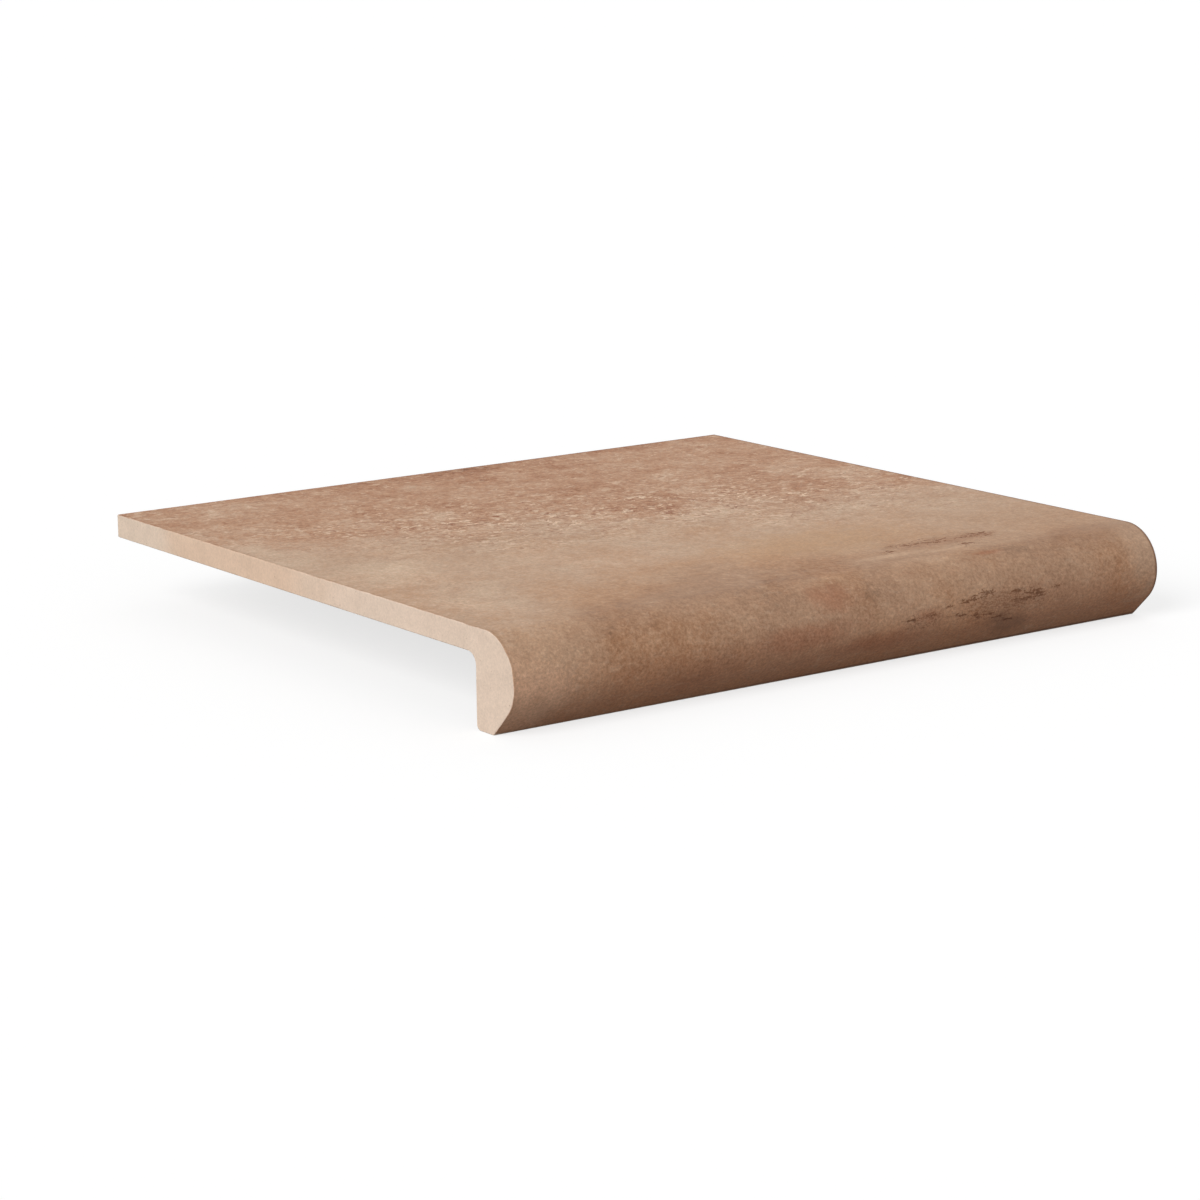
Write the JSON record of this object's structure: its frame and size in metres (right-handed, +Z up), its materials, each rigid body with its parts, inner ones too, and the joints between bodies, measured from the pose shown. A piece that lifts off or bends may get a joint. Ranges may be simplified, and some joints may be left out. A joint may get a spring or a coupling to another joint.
{
  "type": "stair tread tile",
  "caption": "Mottled ceramic stair tread tile: a flat slab whose front edge turns down into a rounded, bevelled nose that laps over the front of the step.",
  "frame": {"origin": "under the middle of the tile's outline, level with the foot of the nose", "axes": "+X along the nose, +Y from the nose towards the back edge, +Z up out of the walking face"},
  "size_m": [0.36, 0.331, 0.043],
  "materials": {
    "glazed_stoneware": "matte glaze mottled in rust, tan and grey-beige on the walking face and nose; pale unglazed body on the other sides"
  },
  "bodies": {
    "root": {"stair_tread_tile": "glazed_stoneware"}
  },
  "joints": []
}
